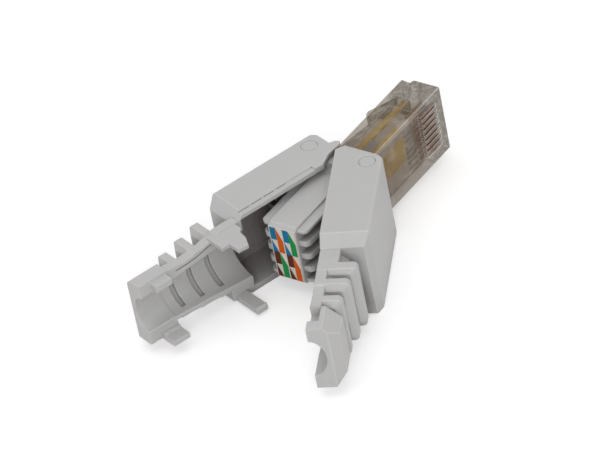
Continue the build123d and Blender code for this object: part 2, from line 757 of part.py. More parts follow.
def right_recesses():
    """The pockets in the right wing that take the left wing's tabs, as drawn mirrored."""
    gap = TAB_CLEARANCE
    tongue_width = TONGUE_OUTLINE[-1][0]
    tongue_reach = max(reach for _, reach in TONGUE_OUTLINE)
    cuts = pocket(TONGUE_START, tongue_width, tongue_reach, TONGUE_UNDER - gap, WING_TOP)
    hook_front = -HOOK_START + gap
    hook_back = -HOOK_START - HOOK_WIDTH - gap
    hook_depth = SEAM + HOOK_REACH + 2 * SEAM_GAP + gap
    hook_way = [
        (hook_back - HOOK_SWING, SEAM - PAST),
        (hook_front + HOOK_SWING / 2, SEAM - PAST),
        (hook_front, hook_depth),
        (hook_back, hook_depth),
    ]
    cuts += prism(hook_way, -WING_TOP - PAST, HOOK_TOP + HOOK_BARB + gap)
    below = -BLOCK_HEIGHT
    top = END_TAB_TOP + gap
    cuts += pocket(END_TAB_START, END_TAB_WIDTH, END_TAB_REACH, below, top)
    cuts += pocket(END_TAB_START, END_TAB_WIDTH, END_TAB_STEP_REACH, below, top + END_TAB_STEP)
    return cuts + pocket(KEY_START, KEY_WIDTH, KEY_REACH, KEY_TOP - KEY_THICK - gap, BLOCK_HEIGHT)


def wing_left():
    """The left wing, closed, about its own pin."""
    wing = wing_box(left_plan()) + half_boot(whole_boot(LEFT_PLATE)) + pushers()
    wing -= brick(
        -WING_LENGTH + LIP_BACK,
        -LIP_FRONT,
        SEAM - PAST,
        SEAM + LIP_WIDTH,
        WING_TOP - LIP_DROP,
        WING_TOP + PAST,
    )
    return wing - Pos(0, -HINGE_Y, 0) * boot_bore() + left_tabs()


def wing_right():
    """The right wing, closed, drawn as a left one and mirrored when it is placed."""
    boot = whole_boot(RIGHT_LEDGE) + boot_ledge()
    wing = wing_box(right_plan()) + half_boot(boot) + pushers()
    return wing - Pos(0, -HINGE_Y, 0) * boot_bore() - right_recesses()


def placed_left(shape, angle=LEFT_OPEN):
    """Put the left wing on its pin, opened by the angle given."""
    return Pos(HINGE_X, HINGE_Y, 0) * Rot(0, 0, -angle) * shape


def placed_right(shape, angle=RIGHT_OPEN):
    """Mirror the right wing, put it on its pin and open it by the angle given."""
    return Pos(HINGE_X, -HINGE_Y, 0) * Rot(0, 0, angle) * mirror(shape, Plane.XZ)


def build():
    """Make every piece of the plug, by name."""
    pieces = {
        "nose_shell": nose_shell(),
        "release_latch": latch(),
        "contact_board": board(CONTACT_BOARD_BACK, CONTACT_BOARD_Y),
        "link_board": board(LINK_BOARD_BACK, LINK_BOARD_Y),
        "centre_body": centre_body(),
        "colour_label": colour_label(),
        "wing_left": placed_left(wing_left()),
        "wing_right": placed_right(wing_right()),
    }
    for number in range(CONTACT_COUNT):
        level = CONTACT_PITCH * ((CONTACT_COUNT - 1) / 2 - number)
        pieces[f"contact_{number + 1}"] = contact(level)
    for number, level in enumerate(reversed(WIRE_LEVELS)):
        pieces[f"wire_fork_left_{number + 1}"] = wire_contact(level, 1)
        pieces[f"wire_fork_right_{number + 1}"] = wire_contact(level, -1)
    return pieces


os.makedirs("parts", exist_ok=True)
for name, shape in build().items():
    export_step(shape, f"parts/{name}.step")
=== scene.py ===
import logging
from dataclasses import dataclass, field
from enum import Enum
from math import radians

import bmesh
import bpy
from mathutils import Matrix, Quaternion, Vector


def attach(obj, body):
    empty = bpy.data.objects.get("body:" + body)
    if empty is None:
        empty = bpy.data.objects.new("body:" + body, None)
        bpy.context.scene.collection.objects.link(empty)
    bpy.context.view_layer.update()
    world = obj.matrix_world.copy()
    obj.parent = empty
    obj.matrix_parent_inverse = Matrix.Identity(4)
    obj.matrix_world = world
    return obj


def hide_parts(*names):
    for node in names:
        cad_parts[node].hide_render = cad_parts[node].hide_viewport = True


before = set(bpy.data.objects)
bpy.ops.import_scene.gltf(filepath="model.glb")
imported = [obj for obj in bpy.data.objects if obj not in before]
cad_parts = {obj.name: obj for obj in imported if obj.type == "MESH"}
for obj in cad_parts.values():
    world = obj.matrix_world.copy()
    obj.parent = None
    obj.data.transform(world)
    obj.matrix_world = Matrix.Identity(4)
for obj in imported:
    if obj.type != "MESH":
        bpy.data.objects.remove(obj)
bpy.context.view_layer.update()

# Dresses the field termination plug: finishes for its moulded, metal and board pieces, the
# printed wiring label, the solder joints and milky ribs inside the nose, the two painted shadow
# lines on the left wing, and the studio round it.
# Lengths are in millimetres until they reach a mesh, a lamp or a texture scale.

log = logging.getLogger("plug")

MM = 0.001

# A wave texture of scale 1 has one band every 2 pi / 20 units.
WAVE_BAND = 0.31416

# How well the rounded normal agrees with the flat one where an edge begins and where it is full.
EDGE_TURN = (0.999, 0.95)
BEVEL_SAMPLES = 4
HOLLOW_SAMPLES = 6

ABS_IOR = 1.53
POLYCARBONATE_IOR = 1.585
SOLDER_MASK_IOR = 1.5
VARNISH_IOR = 1.35


def linear(shade: str) -> tuple[float, float, float, float]:
    """Turn an sRGB hex colour into Blender's linear colour.

    Args:
        shade: The colour as #RRGGBB.

    Returns:
        Linear red, green and blue, with an alpha of 1.
    """
    parts = [int(shade[place : place + 2], 16) / 255 for place in (1, 3, 5)]
    low = [part / 12.92 for part in parts]
    high = [((part + 0.055) / 1.055) ** 2.4 for part in parts]
    red, green, blue = (a if c <= 0.04045 else b for a, b, c in zip(low, high, parts))
    return red, green, blue, 1.0


def per_mm(size: float) -> float:
    """Give the texture scale whose features are size millimetres apart."""
    return 1 / (size * MM)


def add_node(tree: bpy.types.NodeTree, kind: str, settings: dict, links: dict) -> bpy.types.Node:
    """Add a node with its settings and its incoming links.

    Args:
        tree: The tree that gets the node.
        kind: The node's type name, without the leading ShaderNode.
        settings: Values by property name, or by input name or number.
        links: Output sockets by input name or number.

    Returns:
        The new node.
    """
    made = tree.nodes.new("ShaderNode" + kind)
    for name, value in settings.items():
        if isinstance(name, str) and hasattr(made, name) and name not in made.inputs:
            setattr(made, name, value)
        else:
            made.inputs[name].default_value = value
    for name, output in links.items():
        tree.links.new(output, made.inputs[name])
    return made


def object_place(tree: bpy.types.NodeTree) -> bpy.types.NodeSocket:
    """Give the coordinates that stay with a piece when it moves."""
    return add_node(tree, "TexCoord", {}, {}).outputs["Object"]


def along(
    tree: bpy.types.NodeTree, place: bpy.types.NodeSocket, axis: str
) -> bpy.types.NodeSocket:
    """Give one coordinate of a place, by its axis' letter."""
    return add_node(tree, "SeparateXYZ", {}, {"Vector": place}).outputs[axis]


def noise(
    tree: bpy.types.NodeTree, place: bpy.types.NodeSocket, size: float, detail: float
) -> bpy.types.NodeSocket:
    """Add a noise texture.

    Args:
        tree: The tree that gets the node.
        place: The coordinates it follows.
        size: How far its features are apart, in millimetres.
        detail: How many finer layers it has.

    Returns:
        The noise, around 0.5.
    """
    settings = {"Scale": per_mm(size), "Detail": detail}
    return add_node(tree, "TexNoise", settings, {"Vector": place}).outputs["Fac"]


def remap(
    tree: bpy.types.NodeTree,
    value: bpy.types.NodeSocket,
    source: tuple[float, float] = (0.0, 1.0),
    target: tuple[float, float] = (0.0, 1.0),
) -> bpy.types.NodeSocket:
    """Carry a value over from one range to another and hold it at the ends.

    Args:
        tree: The tree that gets the node.
        value: The value.
        source: Where the value's range begins and ends.
        target: What the result is at those two.

    Returns:
        The result.
    """
    settings = {1: source[0], 2: source[1], 3: target[0], 4: target[1]}
    return add_node(tree, "MapRange", settings, {0: value}).outputs[0]


def product(
    tree: bpy.types.NodeTree, value: bpy.types.NodeSocket, other: float | bpy.types.NodeSocket
) -> bpy.types.NodeSocket:
    """Multiply a value.

    Args:
        tree: The tree that gets the node.
        value: The value.
        other: The number or the output that it is multiplied by.

    Returns:
        The product.
    """
    settings, links = {"operation": "MULTIPLY"}, {0: value}
    (settings if isinstance(other, float) else links)[1] = other
    return add_node(tree, "Math", settings, links).outputs[0]


def blend(
    tree: bpy.types.NodeTree,
    share: bpy.types.NodeSocket,
    under: str | bpy.types.NodeSocket,
    over: str,
) -> bpy.types.NodeSocket:
    """Lay one colour over another.

    Args:
        tree: The tree that gets the node.
        share: How much of the upper colour shows, from 0 to 1.
        under: The lower colour, as #RRGGBB or as an output.
        over: The upper colour, as #RRGGBB.

    Returns:
        The blended colour.
    """
    settings, links = {"data_type": "RGBA", 7: linear(over)}, {0: share}
    if isinstance(under, str):
        settings[6] = linear(under)
    else:
        links[6] = under
    return add_node(tree, "Mix", settings, links).outputs[2]


def rounded(tree: bpy.types.NodeTree, radius: float) -> bpy.types.NodeSocket:
    """Give the normal of a piece whose edges are rounded to a radius in millimetres."""
    settings = {"samples": BEVEL_SAMPLES, "Radius": radius * MM}
    return add_node(tree, "Bevel", settings, {}).outputs[0]


def edge_mask(tree: bpy.types.NodeTree, edge: bpy.types.NodeSocket) -> bpy.types.NodeSocket:
    """Find the moulded edges, where the rounded normal turns away from the flat one.

    Args:
        tree: The material's node tree.
        edge: The rounded normal.

    Returns:
        A value that is 0 on flat faces and 1 on edges.
    """
    flat = add_node(tree, "NewGeometry", {}, {}).outputs["True Normal"]
    turn = add_node(tree, "VectorMath", {"operation": "DOT_PRODUCT"}, {0: edge, 1: flat})
    return remap(tree, turn.outputs["Value"], EDGE_TURN)


def relief(
    tree: bpy.types.NodeTree,
    height: bpy.types.NodeSocket,
    strength: float,
    depth: float,
    edge: bpy.types.NodeSocket | None = None,
) -> bpy.types.NodeSocket:
    """Give a surface a fine relief.

    Args:
        tree: The material's node tree.
        height: The height, from 0 to 1.
        strength: How strongly it shows.
        depth: What a height of 1 stands for, in millimetres.
        edge: The rounded normal it goes on, or None for the piece's own.

    Returns:
        The normal with the relief.
    """
    links = {"Height": height} if edge is None else {"Height": height, "Normal": edge}
    settings = {"Strength": strength, "Distance": depth * MM}
    return add_node(tree, "Bump", settings, links).outputs[0]


class Side(Enum):
    """Which side of the plug a piece is on, as the sign of Y."""

    LEFT = 1
    RIGHT = -1


@dataclass(frozen=True)
class Finish:
    """What every finish shares: a name, and a material that is made once."""

    name: str

    def material(self) -> bpy.types.Material:
        """Give this finish's material, making it the first time."""
        ready = bpy.data.materials.get(self.name)
        return ready if ready else self.make()

    def make(self) -> bpy.types.Material:
        """Make the material and let the finish fill its tree.

        Returns:
            The new material.
        """
        made = bpy.data.materials.new(self.name)
        made.use_nodes = True
        made.node_tree.nodes.clear()
        shader = self.shade(made.node_tree)
        add_node(made.node_tree, "OutputMaterial", {}, {"Surface": shader.outputs[0]})
        return made

    def shade(self, tree: bpy.types.NodeTree) -> bpy.types.Node:
        """Build the finish's nodes; each finish has its own."""
        raise NotImplementedError


@dataclass(frozen=True)
class MouldedAbs(Finish):
    """White injection-moulded ABS from a finely spark-eroded tool.

    The eye gets a soft satin grey-white with rounded edges that carry a painted highlight line, a
    faint mottle where the melt flowed, here and there a dark speck of dust from handling, and a
    warm painted shade deep in its hollows. The painted shade is paler in the boot, whose walls are
    thin.
    """

    shade_light: str = "#BDBDBC"
    shade_dark: str = "#B6B6B5"
    mottle_mm: float = 7.0
    grain_mm: float = 0.28
    gloss: tuple[float, float] = (0.42, 0.52)
    # How far light goes into the plastic.
    depth_mm: float = 0.6
    speck: str = "#6B6660"
    speck_apart_mm: float = 6.5
    speck_rim: tuple[float, float] = (0.012, 0.03)
    speck_rarity: float = 0.72
    edge_mm: float = 0.32
    # The pale colour laid on the edges is a painted highlight.
    edge_highlight_shade: str = "#DEDDDB"
    edge_highlight_cover: float = 0.6
    # The dark laid into the hollows is painted shade.
    painted_shade_colour: str = "#4C3C35"
    hollow_mm: float = 12.0
    # How open a place is where the painted shade is darkest, and where it isn't painted any more.
    hollow_range: tuple[float, float] = (0.12, 0.46)
    painted_shade_cover: float = 0.95
    # The X between which the boot's thin wall grows to the wing's full thickness; the painted shade
    # is weaker in the thin wall.
    thin_wall: tuple[float, float] = (-43.0, -40.0)
    thin_wall_shade_cover: float = 0.3
    # Whether only the piece's own walls cast its painted shade.
    alone: bool = False

    def shade(self, tree: bpy.types.NodeTree) -> bpy.types.Node:
        """Build satin white plastic with grain, mottle, specks, painted edge highlights and painted
        shade.
        """
        place = object_place(tree)
        mottle = noise(tree, place, self.mottle_mm, detail=3.0)
        edge = rounded(tree, self.edge_mm)
        # The edges' pale colour is a painted highlight and the hollows' dark is painted shade.
        painted_edge_highlight = product(tree, edge_mask(tree, edge), self.edge_highlight_cover)
        colour = blend(tree, mottle, self.shade_dark, self.shade_light)
        colour = blend(tree, self.specks(tree, place), colour, self.speck)
        colour = blend(tree, painted_edge_highlight, colour, self.edge_highlight_shade)
        colour = blend(tree, self.painted_hollow_shade(tree, place), colour, self.painted_shade_colour)
        grain = noise(tree, place, self.grain_mm, detail=2.0)
        settings = {
            "IOR": ABS_IOR,
            "Subsurface Weight": 0.12,
            "Subsurface Scale": self.depth_mm * MM,
        }
        links = {
            "Base Color": colour,
            "Roughness": remap(tree, mottle, target=self.gloss),
            "Normal": relief(tree, grain, strength=0.16, depth=0.03, edge=edge),
        }
        return add_node(tree, "BsdfPrincipled", settings, links)

    def specks(
        self, tree: bpy.types.NodeTree, place: bpy.types.NodeSocket
    ) -> bpy.types.NodeSocket:
        """Scatter small specks, few and far between.

        Args:
            tree: The material's node tree.
            place: The object coordinates.

        Returns:
            A value that is 1 in a speck and 0 between them.
        """
        scale = per_mm(self.speck_apart_mm)
        cell = add_node(tree, "TexVoronoi", {"Scale": scale}, {"Vector": place})
        near = remap(tree, cell.outputs["Distance"], self.speck_rim, (1.0, 0.0))
        chance = add_node(tree, "SeparateColor", {}, {0: cell.outputs["Color"]})
        settings = {"operation": "GREATER_THAN", 1: self.speck_rarity}
        rare = add_node(tree, "Math", settings, {0: chance.outputs[0]})
        return product(tree, near, rare.outputs[0])

    def painted_hollow_shade(
        self, tree: bpy.types.NodeTree, place: bpy.types.NodeSocket
    ) -> bpy.types.NodeSocket:
        """Paint shade into the hollows that light hardly reaches; less in the boot's thin wall.

        Args:
            tree: The material's node tree.
            place: The object coordinates.

        Returns:
            How much of the painted shade shows, from 0 to 1.
        """
        settings = {
            "samples": HOLLOW_SAMPLES,
            "only_local": self.alone,
            "Distance": self.hollow_mm * MM,
        }
        open_air = add_node(tree, "AmbientOcclusion", settings, {}).outputs["AO"]
        deep = remap(tree, open_air, self.hollow_range, (self.painted_shade_cover, 0.0))
        thin, thick = self.thin_wall
        back = along(tree, place, "X")
        wall = remap(tree, back, (thin * MM, thick * MM), (self.thin_wall_shade_cover, 1.0))
        return product(tree, deep, wall)


@dataclass(frozen=True)
class ClearPolycarbonate(Finish):
    """Clear moulded polycarbonate, a little smoky, straight from a polished tool.

    The eye gets a glassy bar with painted highlights on its rims, painted refraction patches, the
    boards and blades showing through, and a slight haze from fine scuffs on its faces. Its solid
    front
    is darker and mottled: partly the smoky tint of thick plastic, partly painted shade and
    refraction.
    """

    tint: str = "#8E857A"
    # The paler patches are painted refraction of the contacts and edges behind the plastic.
    refraction_patch_shade: str = "#D2CCC6"
    through: str = "#DDD9D3"
    lit_through: str = "#FCFBFA"
    clearness: float = 0.35
    # How much the skin hides of what is behind it, where it faces the eye and where it turns away.
    cover: tuple[float, float] = (0.06, 0.5)
    cover_bend: float = 0.35
    cover_refraction: float = 0.12
    scuff_mm: float = 0.7
    scuff_stretch: float = 0.25
    scuff_range: tuple[float, float] = (0.35, 0.75)
    haze: tuple[float, float] = (0.14, 0.26)
    refraction_patch_mm: float = 2.2
    refraction_range: tuple[float, float] = (0.5, 0.72)
    edge_mm: float = 0.3
    # The rims' pale colour is a painted highlight.
    rim_highlight_shade: str = "#F2EEEA"
    edge_highlight_cover: float = 0.75
    # The solid front's dark mottle is partly the smoky tint of thick plastic, partly painted shade
    # and refraction.
    solid_painted_shade: str = "#544C45"
    solid_cover: float = 0.42
    # The X where the solid front begins and where it is full.
    solid_front: tuple[float, float] = (-4.9, -4.1)
    solid_mm: float = 0.8
    solid_range: tuple[float, float] = (0.3, 0.62)
    solid_least: float = 0.1

    def shade(self, tree: bpy.types.NodeTree) -> bpy.types.Node:
        """Build tinted clear plastic with scuffs, painted refraction patches, painted rim
        highlights and a darker solid front.
        """
        place = object_place(tree)
        drawn = {"Scale": (self.scuff_stretch, 1.0, 1.0)}
        stretch = add_node(tree, "Mapping", drawn, {"Vector": place})
        scuff = noise(tree, stretch.outputs[0], self.scuff_mm, detail=4.0)
        refraction_noise = noise(tree, place, self.refraction_patch_mm, detail=2.0)
        # cloud is where the painted refraction patches show.
        cloud = remap(tree, refraction_noise, self.refraction_range)
        edge = rounded(tree, self.edge_mm)
        painted_rim_highlight = edge_mask(tree, edge)
        solid = self.solid(tree, place)
        # The patches are painted refraction, the rims carry a painted highlight, the solid front
        # partly painted shade.
        colour = blend(tree, cloud, self.tint, self.refraction_patch_shade)
        colour = blend(tree, solid, colour, self.solid_painted_shade)
        colour = blend(tree, painted_rim_highlight, colour, self.rim_highlight_shade)
        normal = relief(tree, scuff, strength=0.08, depth=0.02, edge=edge)
        settings = {"IOR": POLYCARBONATE_IOR, "Transmission Weight": self.clearness}
        links = {
            "Base Color": colour,
            "Roughness": remap(tree, scuff, self.scuff_range, self.haze),
            "Normal": normal,
        }
        skin = add_node(tree, "BsdfPrincipled", settings, links)
        rim = add_node(tree, "LayerWeight", {"Blend": self.cover_bend}, {"Normal": normal})
        cover = remap(tree, rim.outputs["Facing"], target=self.cover)
        extras = ((cloud, self.cover_refraction), (painted_rim_highlight, self.edge_highlight_cover), (solid, self.solid_cover))
        for extra, share in extras:
            settings = {"operation": "MULTIPLY_ADD", 1: share}
            cover = add_node(tree, "Math", settings, {0: extra, 2: cover}).outputs[0]
        return self.glaze(tree, cover, skin)

    def solid(
        self, tree: bpy.types.NodeTree, place: bpy.types.NodeSocket
    ) -> bpy.types.NodeSocket:
        """Find the solid front of the nose, with the mottle of its partly painted shade and
        refraction.

        Args:
            tree: The material's node tree.
            place: The object coordinates.

        Returns:
            A value that is 0 behind the solid front and up to 1 in it.
        """
        start, full = self.solid_front
        reach = remap(tree, along(tree, place, "X"), (start * MM, full * MM))
        mottle = noise(tree, place, self.solid_mm, detail=2.0)
        spots = remap(tree, mottle, self.solid_range, (self.solid_least, 1.0))
        return product(tree, reach, spots)

    def glaze(
        self, tree: bpy.types.NodeTree, cover: bpy.types.NodeSocket, skin: bpy.types.Node
    ) -> bpy.types.Node:
        """Lay the skin over clear plastic, and let lamps shine through both.

        Args:
            tree: The material's node tree.
            cover: How much the skin hides, from 0 to 1.
            skin: The skin's shader.

        Returns:
            The finished shader.
        """
        clear = add_node(tree, "BsdfTransparent", {"Color": linear(self.through)}, {})
        lit = add_node(tree, "BsdfTransparent", {"Color": linear(self.lit_through)}, {})
        lamp = add_node(tree, "LightPath", {}, {}).outputs["Is Shadow Ray"]
        layers = {0: cover, 1: clear.outputs[0], 2: skin.outputs[0]}
        seen = add_node(tree, "MixShader", {}, layers)
        return add_node(tree, "MixShader", {}, {0: lamp, 1: seen.outputs[0], 2: lit.outputs[0]})


@dataclass(frozen=True)
class FrostedPolycarbonate(Finish):
    """The same clear plastic where the tool was left rough, so that it scatters light.

    The eye gets a milky grey bar with no clear edge inside the nose.
    """

    milk: str = "#DDD5CC"
    cloud: str = "#CCC2B8"
    cloud_mm: float = 1.6
    depth_mm: float = 1.0

    def shade(self, tree: bpy.types.NodeTree) -> bpy.types.Node:
        """Build milky plastic with soft clouds."""
        clouds = noise(tree, object_place(tree), self.cloud_mm, detail=2.0)
        settings = {
            "Roughness": 0.6,
            "IOR": POLYCARBONATE_IOR,
            "Subsurface Weight": 0.3,
            "Subsurface Scale": self.depth_mm * MM,
        }
        links = {
            "Base Color": blend(tree, clouds, self.cloud, self.milk),
            "Normal": relief(tree, clouds, strength=0.2, depth=0.04),
        }
        return add_node(tree, "BsdfPrincipled", settings, links)


@dataclass(frozen=True)
class GoldBlade(Finish):
    """Stamped copper-alloy blade with a thin gold flash.

    The eye gets a warm coppery metal, brighter on the crown, with fine stamping lines across it.
    """

    metal: str = "#B97A4C"
    line_mm: float = 0.09
    line_stretch: float = 0.12
    rough: tuple[float, float] = (0.22, 0.42)

    def shade(self, tree: bpy.types.NodeTree) -> bpy.types.Node:
        """Build coppery gold with stamping lines that run across the blade."""
        drawn = {"Scale": (1.0, self.line_stretch, 1.0)}
        stretch = add_node(tree, "Mapping", drawn, {"Vector": object_place(tree)})
        lines = noise(tree, stretch.outputs[0], self.line_mm, detail=2.0)
        settings = {"Base Color": linear(self.metal), "Metallic": 1.0}
        links = {
            "Roughness": remap(tree, lines, target=self.rough),
            "Normal": relief(tree, lines, strength=0.1, depth=0.01),
        }
        return add_node(tree, "BsdfPrincipled", settings, links)


@dataclass(frozen=True)
class TinPlate(Finish):
    """Matt tin on a stamped fork, and the same tin as solder.

    The eye gets a dull silver with a slightly frosted, uneven sheen.
    """

    metal: str = "#A9A6A0"
    frost_mm: float = 0.2
    rough: tuple[float, float] = (0.3, 0.55)

    def shade(self, tree: bpy.types.NodeTree) -> bpy.types.Node:
        """Build frosted silver metal."""
        frost = noise(tree, object_place(tree), self.frost_mm, detail=3.0)
        settings = {"Base Color": linear(self.metal), "Metallic": 1.0}
        links = {
            "Roughness": remap(tree, frost, target=self.rough),
            "Normal": relief(tree, frost, strength=0.15, depth=0.02),
        }
        return add_node(tree, "BsdfPrincipled", settings, links)


@dataclass(frozen=True)
class SolderMask(Finish):
    """Glass-fibre laminate under a yellow-olive solder mask.

    The eye gets a glossy mustard board with broad copper areas under its mask, over a faint woven
    cloth. In its olive zones the mask is darker; in its bare zones it ends and grey laminate shows.
    A zone is given as an axis and where it begins and ends along it.
    """

    mask: str = "#F4CC22"
    copper: str = "#F8D638"
    weave: str = "#E8B830"
    bare: str = "#E6DED4"
    olive: str = "#A8823A"
    copper_mm: float = 5.0
    copper_range: tuple[float, float] = (0.5, 0.53)
    weave_mm: float = 0.8882
    weave_warp: float = 1.2
    olive_zones: tuple = ()
    bare_zones: tuple = ()

    def shade(self, tree: bpy.types.NodeTree) -> bpy.types.Node:
        """Build a masked board with copper areas, a woven ground and its zones."""
        place = object_place(tree)
        settings = {"Scale": per_mm(self.weave_mm) * WAVE_BAND, "Distortion": self.weave_warp}
        cloth = add_node(tree, "TexWave", settings, {"Vector": place}).outputs["Fac"]
        spread = noise(tree, place, self.copper_mm, detail=0.0)
        area = remap(tree, spread, self.copper_range)
        colour = blend(tree, cloth, self.mask, self.weave)
        colour = blend(tree, area, colour, self.copper)
        for shade, zones in ((self.olive, self.olive_zones), (self.bare, self.bare_zones)):
            for zone in zones:
                colour = blend(tree, self.inside(tree, place, zone), colour, shade)
        settings = {"Roughness": 0.3, "IOR": SOLDER_MASK_IOR, "Coat Weight": 0.25}
        links = {
            "Base Color": colour,
            "Normal": relief(tree, area, strength=0.4, depth=0.03),
        }
        return add_node(tree, "BsdfPrincipled", settings, links)

    def inside(
        self,
        tree: bpy.types.NodeTree,
        place: bpy.types.NodeSocket,
        zone: tuple[str, float, float],
    ) -> bpy.types.NodeSocket:
        """Find a zone of the board.

        Args:
            tree: The material's node tree.
            place: The object coordinates.
            zone: The axis by its letter, and where the zone begins and ends along it.

        Returns:
            A value that is 1 in the zone and 0 outside it.
        """
        axis, low, high = zone
        middle, reach = (low + high) / 2 * MM, (high - low) / 2 * MM
        settings = {"operation": "COMPARE", 1: middle, 2: reach}
        return add_node(tree, "Math", settings, {0: along(tree, place, axis)}).outputs[0]


@dataclass(frozen=True)
class ShadowGap(Finish):
    """The dark that shows in a narrow slit between two moulded walls.

    The eye gets a thin warm brown-black line that is a little uneven.
    """

    deep: str = "#3A2F28"
    lit: str = "#6A5C52"
    change_mm: float = 0.9

    def shade(self, tree: bpy.types.NodeTree) -> bpy.types.Node:
        """Build a matt brown that wanders between deep and lit."""
        change = noise(tree, object_place(tree), self.change_mm, detail=1.0)
        tone = blend(tree, change, self.deep, self.lit)
        return add_node(tree, "BsdfPrincipled", {"Roughness": 0.9}, {"Base Color": tone})


@dataclass(frozen=True)
class PrintedPaper(Finish):
    """Coated label paper with one flat process ink.

    The eye gets a satin field of ink whose density wanders a little, as offset print does.
    """

    ink: str = "#D8D2CA"
    dot_mm: float = 0.14
    density: tuple[float, float] = (0.86, 1.14)

    def shade(self, tree: bpy.types.NodeTree) -> bpy.types.Node:
        """Build ink on paper, with a print grain under a thin varnish."""
        dots = noise(tree, object_place(tree), self.dot_mm, detail=2.0)
        value = remap(tree, dots, target=self.density)
        tone = add_node(tree, "HueSaturation", {"Color": linear(self.ink)}, {"Value": value})
        settings = {"Roughness": 0.6, "IOR": VARNISH_IOR}
        return add_node(tree, "BsdfPrincipled", settings, {"Base Color": tone.outputs[0]})


def backdrop_rays(tree: bpy.types.NodeTree) -> bpy.types.NodeSocket:
    """Find the rays that look at the backdrop: straight, off a gloss or through clear plastic.

    Args:
        tree: The tree of the floor's material or of the world.

    Returns:
        A value that is 1 for such a ray and 0 for the light that falls on the plug.
    """
    path = add_node(tree, "LightPath", {}, {}).outputs
    seen = path["Is Camera Ray"]
    for ray in ("Is Glossy Ray", "Is Transmission Ray"):
        both = add_node(tree, "Math", {"operation": "MAXIMUM"}, {0: seen, 1: path[ray]})
        seen = both.outputs[0]
    return seen


@dataclass(frozen=True)
class StudioFloor(Finish):
    """Seamless white sweep that is lifted to white for the eye and keeps the plug's shadow."""

    sweep: str = "#E0E0E0"
    lift: float = 0.42
    patches: float = 2.0
    patch_range: tuple[float, float] = (0.995, 1.0)

    def shade(self, tree: bpy.types.NodeTree) -> bpy.types.Node:
        """Build a matt floor that glows a little for camera, mirror and clear rays."""
        patch = add_node(tree, "TexNoise", {"Scale": self.patches}, {}).outputs["Fac"]
        value = remap(tree, patch, target=self.patch_range)
        tone = add_node(tree, "HueSaturation", {"Color": linear(self.sweep)}, {"Value": value})
        matt = add_node(tree, "BsdfDiffuse", {}, {"Color": tone.outputs[0]})
        glow = product(tree, backdrop_rays(tree), self.lift)
        light = add_node(tree, "Emission", {}, {"Strength": glow})
        return add_node(tree, "AddShader", {}, {0: matt.outputs[0], 1: light.outputs[0]})


WING_ABS = MouldedAbs("moulded_white_abs")
BODY_ABS = MouldedAbs("moulded_white_abs_body", alone=True)
CLEAR_PC = ClearPolycarbonate("clear_polycarbonate")
FROSTED_PC = FrostedPolycarbonate("frosted_polycarbonate")
GOLD = GoldBlade("gold_flashed_blade")
TIN = TinPlate("tin_plate")
LINK_MASK = SolderMask("link_board_mask")
CONTACT_MASK = SolderMask(
    "contact_board_mask",
    olive_zones=(("X", -7.4, -2.9),),
    bare_zones=(("X", -9.7, -7.4), ("Z", -4.5, -1.6), ("Z", 2.9, 4.3)),
)
GAP = ShadowGap("shadow_gap")
PAPER = PrintedPaper("label_paper")


class Ink(Enum):
    """The four inks of the wiring code."""

    BLUE = "#0A7096"
    ORANGE = "#D05800"
    GREEN = "#0C8A44"
    BROWN = "#542204"

    def finish(self) -> PrintedPaper:
        """Give the printed finish of this ink."""
        return PrintedPaper("label_" + self.name.lower(), ink=self.value)


class Print(Enum):
    """How a field of the label is printed: all ink, or ink below a white corner."""

    SOLID = "solid"
    STRIPED = "striped"


